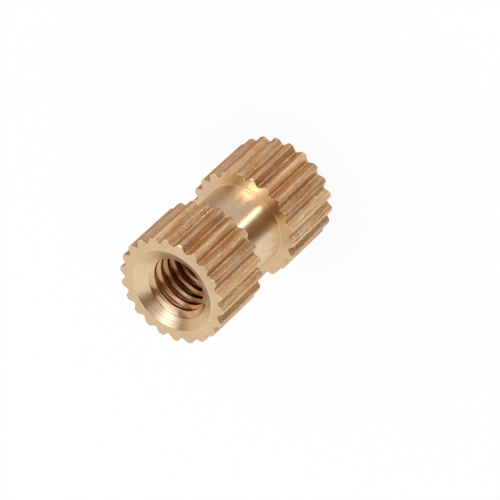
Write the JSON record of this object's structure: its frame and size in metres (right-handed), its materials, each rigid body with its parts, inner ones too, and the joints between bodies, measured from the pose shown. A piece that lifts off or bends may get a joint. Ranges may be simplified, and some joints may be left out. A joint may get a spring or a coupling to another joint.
{
  "type": "threaded insert",
  "caption": "Straight-knurled brass insert with a smooth turned neck and a countersunk, tapped through hole, moulded or pressed into plastic to hold a screw.",
  "frame": {"origin": "centre of the lower end face", "axes": "+Z along the axis of the hole, from the lower to the upper end face; a tooth is centred on +X"},
  "size_m": [0.005, 0.005, 0.0085],
  "materials": {
    "brass": "turned and knurled bar, satin, a little uneven on the teeth"
  },
  "bodies": {
    "root": {"insert": "brass"}
  },
  "joints": []
}
